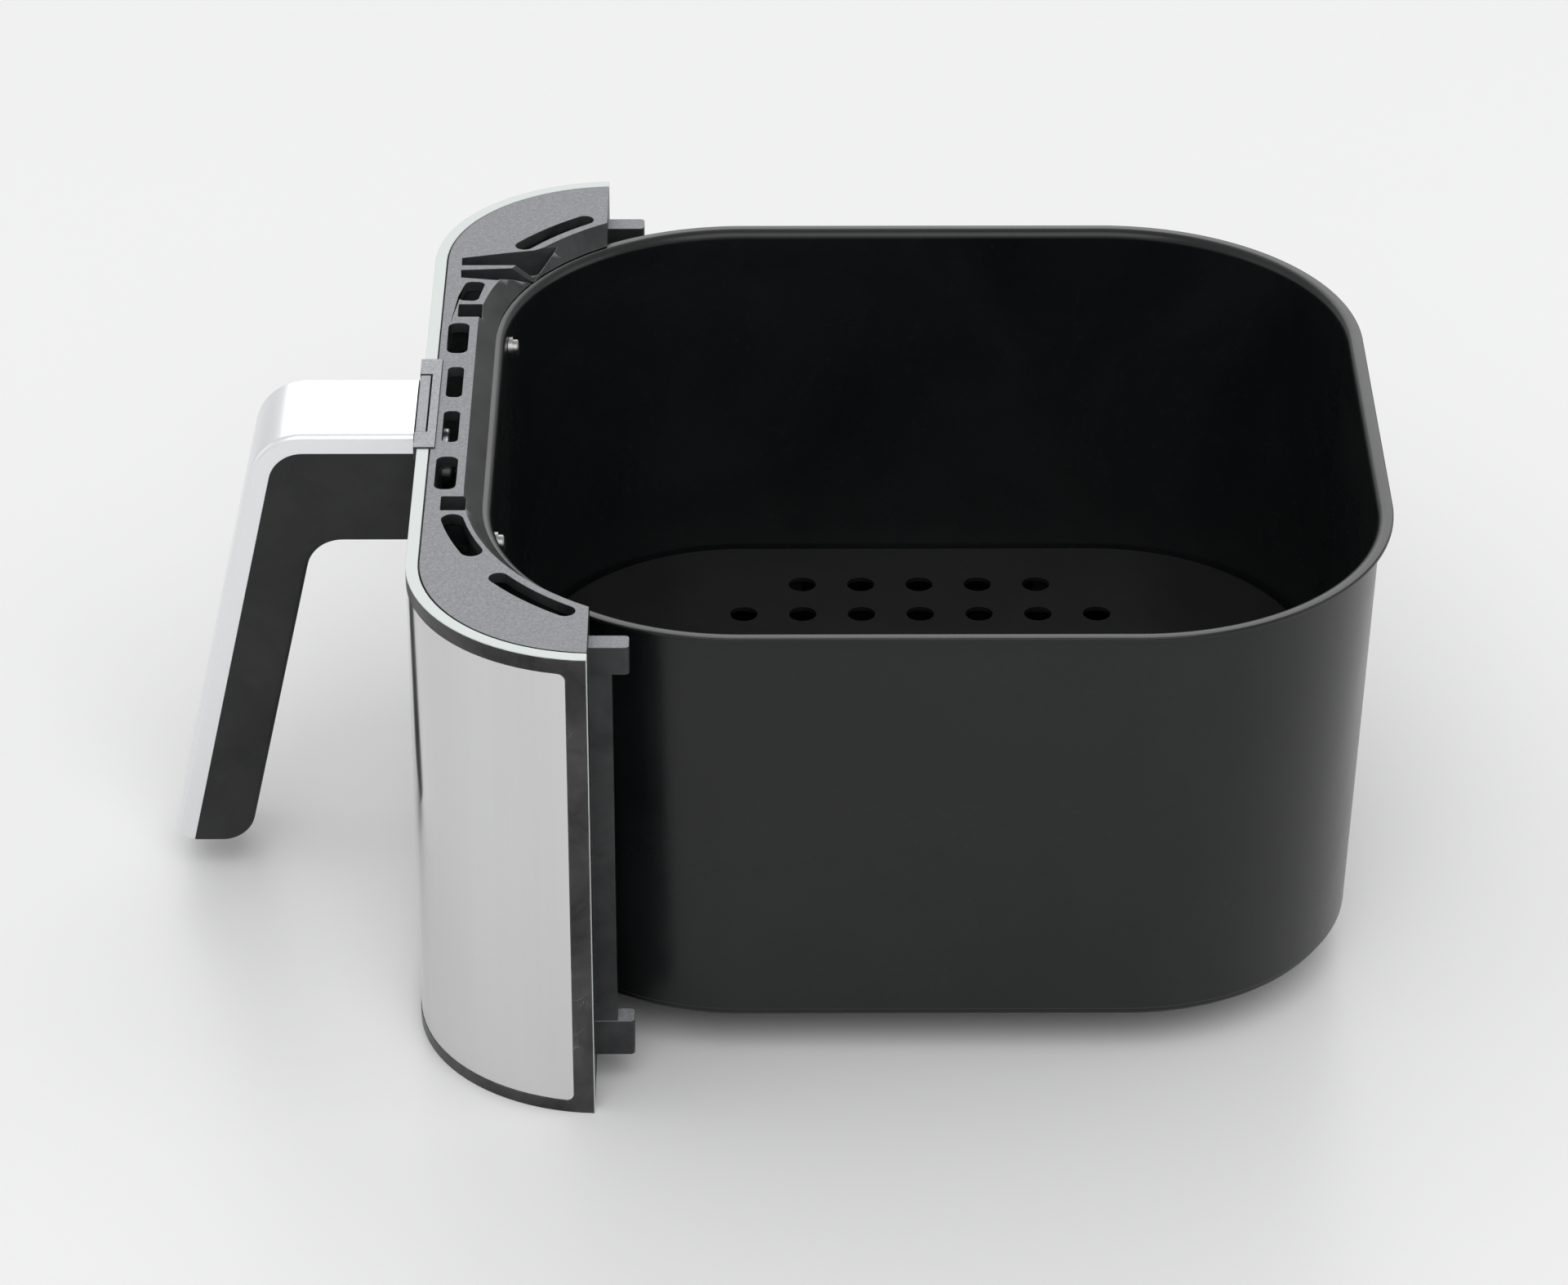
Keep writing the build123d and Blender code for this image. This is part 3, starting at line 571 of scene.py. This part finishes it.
# Pieces ------------------------------------------------------------------------------------
class DRAWER_OT_pan(bpy.types.Operator):
    """Draw the pressed pan, from its stepped base up to its rolled lip and down to its floor"""

    bl_idname = "drawer.pan"
    bl_label = "Pan"

    corner_radius = 70.0 * mm
    lip_width = 3.2 * mm
    sheet = 1.2 * mm
    wall_turn = 2.2
    draft = math.tan(math.radians(wall_turn))
    base_step = 1.4 * mm
    base_round = 1.6 * mm
    step_bevel = 0.3 * mm
    underside = 2.0 * mm
    seam_rise = 3.0 * mm
    floor_rise = 1.5 * mm
    floor_round = 4.0 * mm
    corner_steps = 40

    def execute(self, context):
        sizes = context.scene.drawer_sizes
        low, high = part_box("pan")
        middle = ((low.x + high.x) / 2, (low.y + high.y) / 2)
        half = ((high.x - low.x) / 2, (high.y - low.y) / 2)
        straight = [side - self.corner_radius for side in half]
        top, bottom = high.z, low.z
        seam = bottom + self.seam_rise
        floor = bottom + self.floor_rise

        def wall(height, inset):
            return inset + (top - height) * self.draft

        foot = wall(seam, self.lip_width) + self.base_step
        crease, lip_edge, roll = sizes.base_crease, sizes.lip_edge, sizes.lip_roll
        inner = self.lip_width + self.sheet
        inner_low = wall(floor, inner)
        flange = top - self.sheet
        profile = [(foot + self.base_round + self.underside, bottom)]
        turn = self.base_round
        profile += arc((foot + turn, bottom + turn), turn, at_bottom, at_outside, 6)
        profile += [(foot, seam - self.step_bevel), (foot - self.step_bevel, seam)]
        at_crease = wall(seam, self.lip_width)
        profile += arc((at_crease + crease, seam + crease), crease, at_bottom, at_outside, 5)
        under = roll - self.sheet
        profile += arc((self.lip_width - under, flange - under), under, self.wall_turn, at_top, 8)
        profile += arc((lip_edge, flange + lip_edge), lip_edge, at_bottom, at_outside, 4)
        profile += arc((lip_edge, top - lip_edge), lip_edge, at_outside, at_top, 4)
        profile += arc((inner - roll, top - roll), roll, at_top, self.wall_turn, 14)
        profile += [(wall(floor + self.floor_round, inner), floor + self.floor_round)]
        turn = self.floor_round
        profile += arc((inner_low + turn, floor + turn), turn, at_outside, at_bottom, 8)[1:]
        profile += [(inner_low + turn + self.underside, floor)]

        bm = bmesh.new()
        corner = self.corner_radius - profile[0][0]
        half_x, half_y = (side + corner for side in straight)
        face = rounded_face(bm, half_x, half_y, corner, middle, bottom, self.corner_steps)
        last = run_profile(bm, list(face.edges), profile, middle, straight)
        bmesh.ops.contextual_create(bm, geom=last)
        bmesh.ops.remove_doubles(bm, verts=bm.verts, dist=weld_gap)
        bmesh.ops.recalc_face_normals(bm, faces=bm.faces)
        piece = piece_from(bm, "pan_pressing")
        dress(piece, "nonstick_coat", frame_body("pan"), "pan")
        return {"FINISHED"}


class DRAWER_OT_crisper(bpy.types.Operator):
    """Finish the loose crisper plate and its silicone bumpers"""

    bl_idname = "drawer.crisper"
    bl_label = "Crisper plate"

    def execute(self, context):
        sizes = context.scene.drawer_sizes
        plate = eased_copy("crisper_plate", 0.0)
        dress(plate, "nonstick_plate", frame_body("crisper_plate"), "crisper_plate")
        for number in range(1, 5):
            node = f"crisper_bumper_{number}"
            dress(eased_copy(node, sizes.moulding_edge, 3), "silicone", frame_body(node), node)
        return {"FINISHED"}


class DRAWER_OT_panel(bpy.types.Operator):
    """Finish the front panel: grey cover, pale shell and black trim"""

    bl_idname = "drawer.panel"
    bl_label = "Front panel"

    def execute(self, context):
        edge = context.scene.drawer_sizes.moulding_edge
        for node, slot in (("inner_cover", "grey_moulding"), ("outer_shell", "pale_moulding"),
                           ("trim_frame", "black_trim")):
            dress(eased_copy(node, edge), slot, frame_body(node), node)
        return {"FINISHED"}


class DRAWER_OT_skin(bpy.types.Operator):
    """Finish the brushed steel plate that the trim holds"""

    bl_idname = "drawer.skin"
    bl_label = "Steel plate"

    def execute(self, context):
        dress_frame("steel_plate", "brushed_skin")
        return {"FINISHED"}


class DRAWER_OT_joint(bpy.types.Operator):
    """Finish the joint block, the press tab and its springs"""

    bl_idname = "drawer.joint"
    bl_label = "Joint block"

    # the tab's own travel and a little clearance
    tab_travel = 2.1 * mm

    def execute(self, context):
        edge = context.scene.drawer_sizes.moulding_edge
        for node, rounding in (("joint_block", edge), ("press_tab", 0.0)):
            dress(eased_copy(node, rounding), "dark_moulding", frame_body(node), node)
        springs = eased_copy("tab_springs", 0.0)
        dress(springs, "spring_wire", frame_body("tab_springs"), "tab_springs")
        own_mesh(springs)
        return {"FINISHED"}


def other_normal(edge):
    """The normal of the other face at an edge of a flat side, or nothing at any other edge."""
    first, second = (face.normal for face in edge.link_faces)
    if abs(first.x) < abs(second.x):
        first, second = second, first
    least_of_side, most_of_other = 0.99, 0.3
    if abs(first.x) > least_of_side and abs(second.x) < most_of_other:
        return second
    return None


class DRAWER_OT_handle(bpy.types.Operator):
    """Finish the handle: aluminium cap, moulded grip, steel core and backing plate"""

    bl_idname = "drawer.handle"
    bl_label = "Handle"

    foot_zone = 14.0 * mm
    root_zone = 0.5 * mm
    side_reach = 0.01 * mm
    # how far a face may turn from looking up or forwards, and from looking down or back
    outer_turn = -0.3
    inner_turn = 0.2
    rear_turn = 0.5

    def execute(self, context):
        sizes = context.scene.drawer_sizes
        half_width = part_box("handle_cap")[1].x
        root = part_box("handle_cap")[1].y

        def on_side(edge):
            return all(abs(vert.co.x) > half_width - self.side_reach for vert in edge.verts)

        def cap_outline(edge):
            other = other_normal(edge)
            if other is None or not on_side(edge):
                return False
            low = all(vert.co.z < self.foot_zone for vert in edge.verts)
            at_foot = low and other.y < self.rear_turn
            return at_foot or other.z - other.y > self.outer_turn

        def grip_outline(edge):
            other = other_normal(edge)
            if other is None or not on_side(edge):
                return False
            at_root = all(vert.co.y > root - self.root_zone for vert in edge.verts)
            return not at_root and other.z - other.y < self.inner_turn

        cap = eased_copy("handle_cap", sizes.metal_edge, chosen=cap_outline, radius=sizes.cap_round)
        dress(cap, "satin_aluminium", frame_body("handle_cap"), "handle_cap")
        edge = sizes.moulding_edge
        grip = eased_copy("handle_grip", edge, chosen=grip_outline, radius=sizes.grip_round)
        dress(grip, "grip_moulding", frame_body("handle_grip"), "handle_grip")
        dress_frame("handle_core", "zinc_steel")
        dress_frame("backing_plate", "zinc_steel")
        return {"FINISHED"}


class DRAWER_OT_fixings(bpy.types.Operator):
    """Finish the screws and washers"""

    bl_idname = "drawer.fixings"
    bl_label = "Screws"

    def execute(self, context):
        for node in ("handle_screws", "grip_screws", "cover_screws"):
            dress_frame(node, "zinc_steel")
        for node in ("pan_screws", "pan_washers"):
            dress_frame(node, "bright_steel")
        return {"FINISHED"}


class DRAWER_OT_studio(bpy.types.Operator):
    """Set up the pale floor, the soft lights and the camera"""

    bl_idname = "drawer.studio"
    bl_label = "Studio"

    camera_place = Vector((1.4483, -0.0005, 0.9242))
    camera_target = Vector((0.0, 0.00415, 0.06381))
    camera_lens = 139.71
    camera_sensor = 36.0
    # name, place, target, size in metres, power in watts, whether it lights matt surfaces
    lamps = (
        ("Back", (-4.2, 0.1, 2.6), (0.0, 0.0, 0.1), (4.6, 2.5), 14.0, True),
        ("Back gloss", (-4.3, 0.1, 2.7), (0.0, 0.0, 0.1), (4.6, 2.5), 60.0, False),
        ("Overhead", (1.9, 0.2, 2.3), (0.2, 0.1, 0.0), (2.4, 2.4), 31.0, True),
        ("Right side", (0.2, 2.6, 1.0), (0.0, 0.0, 0.1), (1.6, 1.8), 7.0, True),
        ("Left side", (0.3, -2.6, 1.1), (0.0, 0.0, 0.1), (1.6, 1.8), 3.5, True),
    )
    world_strength = 0.71

    def execute(self, context):
        scene = context.scene
        self.lay_floor(scene)
        self.hang_lamps(scene)
        self.place_camera(scene)
        scene.view_settings.view_transform = "Standard"
        world = bpy.data.worlds.new("Studio")
        world.use_nodes = True
        world.node_tree.nodes["Background"].inputs["Color"].default_value = (1.0, 1.0, 1.0, 1.0)
        world.node_tree.nodes["Background"].inputs["Strength"].default_value = self.world_strength
        scene.world = world
        return {"FINISHED"}

    def lay_floor(self, scene):
        """A pale, slightly glossy floor."""
        half = scene.drawer_sizes.floor_half
        bm = bmesh.new()
        bmesh.ops.create_grid(bm, x_segments=1, y_segments=1, size=half)
        floor = piece_from(bm, "studio_floor")
        material, tree, shader = begin("Studio floor")
        colour = tuple(scene.drawer_colours.floor)
        grain = use(tree, "grain", Fine=900.0, Broad=2.0)
        tone = tree.fit(grain["Mottle"], noise_low, noise_high)
        surface = tree.blend(tone, darker(colour, 0.01), lighter(colour, 0.02))
        rough = tree.fit(grain["Mottle"], noise_low, noise_high, to_low=0.34, to_high=0.4)
        shade(tree, shader, surface, rough)
        shader.inputs["Specular IOR Level"].default_value = 0.3
        floor.data.materials.append(material)

    def hang_lamps(self, scene):
        """Soft rectangular lamps."""
        for name, place, target, size, power, lights_matt in self.lamps:
            light = bpy.data.lights.new(name, "AREA")
            light.shape = "RECTANGLE"
            light.size, light.size_y = size
            light.energy = power
            lamp = bpy.data.objects.new(name, light)
            lamp.location = place
            lamp.visible_diffuse = lights_matt
            beam = Vector(target) - Vector(place)
            lamp.rotation_euler = beam.to_track_quat("-Z", "Y").to_euler()
            scene.collection.objects.link(lamp)

    def place_camera(self, scene):
        """The camera looks down at the drawer's side."""
        camera = bpy.data.cameras.new("Camera")
        camera.lens = self.camera_lens
        camera.sensor_width = self.camera_sensor
        camera.sensor_fit = "HORIZONTAL"
        holder = bpy.data.objects.new("Camera", camera)
        holder.location = self.camera_place
        sight = self.camera_target - self.camera_place
        holder.rotation_euler = sight.to_track_quat("-Z", "Y").to_euler()
        scene.collection.objects.link(holder)
        scene.camera = holder


class DRAWER_PT_sidebar(bpy.types.Panel):
    """Sizes, colours and steps of the drawer"""

    bl_idname = "DRAWER_PT_sidebar"
    bl_label = "Basket drawer"
    bl_space_type = "VIEW_3D"
    bl_region_type = "UI"
    bl_category = "Drawer"

    def draw(self, context):
        column = self.layout.column()
        for group in (context.scene.drawer_sizes, context.scene.drawer_colours):
            for name in group.__annotations__:
                column.prop(group, name)
        for step in STEPS:
            column.operator(step.bl_idname)


STEPS = (
    DRAWER_OT_pan,
    DRAWER_OT_crisper,
    DRAWER_OT_panel,
    DRAWER_OT_skin,
    DRAWER_OT_joint,
    DRAWER_OT_handle,
    DRAWER_OT_fixings,
    DRAWER_OT_studio,
)
CLASSES = (DrawerSizes, DrawerColours, *STEPS, DRAWER_PT_sidebar)


def register():
    for part in CLASSES:
        bpy.utils.register_class(part)
    bpy.types.Scene.drawer_sizes = bpy.props.PointerProperty(type=DrawerSizes)
    bpy.types.Scene.drawer_colours = bpy.props.PointerProperty(type=DrawerColours)


def unregister():
    del bpy.types.Scene.drawer_colours
    del bpy.types.Scene.drawer_sizes
    for part in reversed(CLASSES):
        bpy.utils.unregister_class(part)


def main():
    register()
    bpy.ops.drawer.pan()
    bpy.ops.drawer.crisper()
    bpy.ops.drawer.panel()
    bpy.ops.drawer.skin()
    bpy.ops.drawer.joint()
    bpy.ops.drawer.handle()
    bpy.ops.drawer.fixings()
    bpy.ops.drawer.studio()


if __name__ == "__main__":
    main()
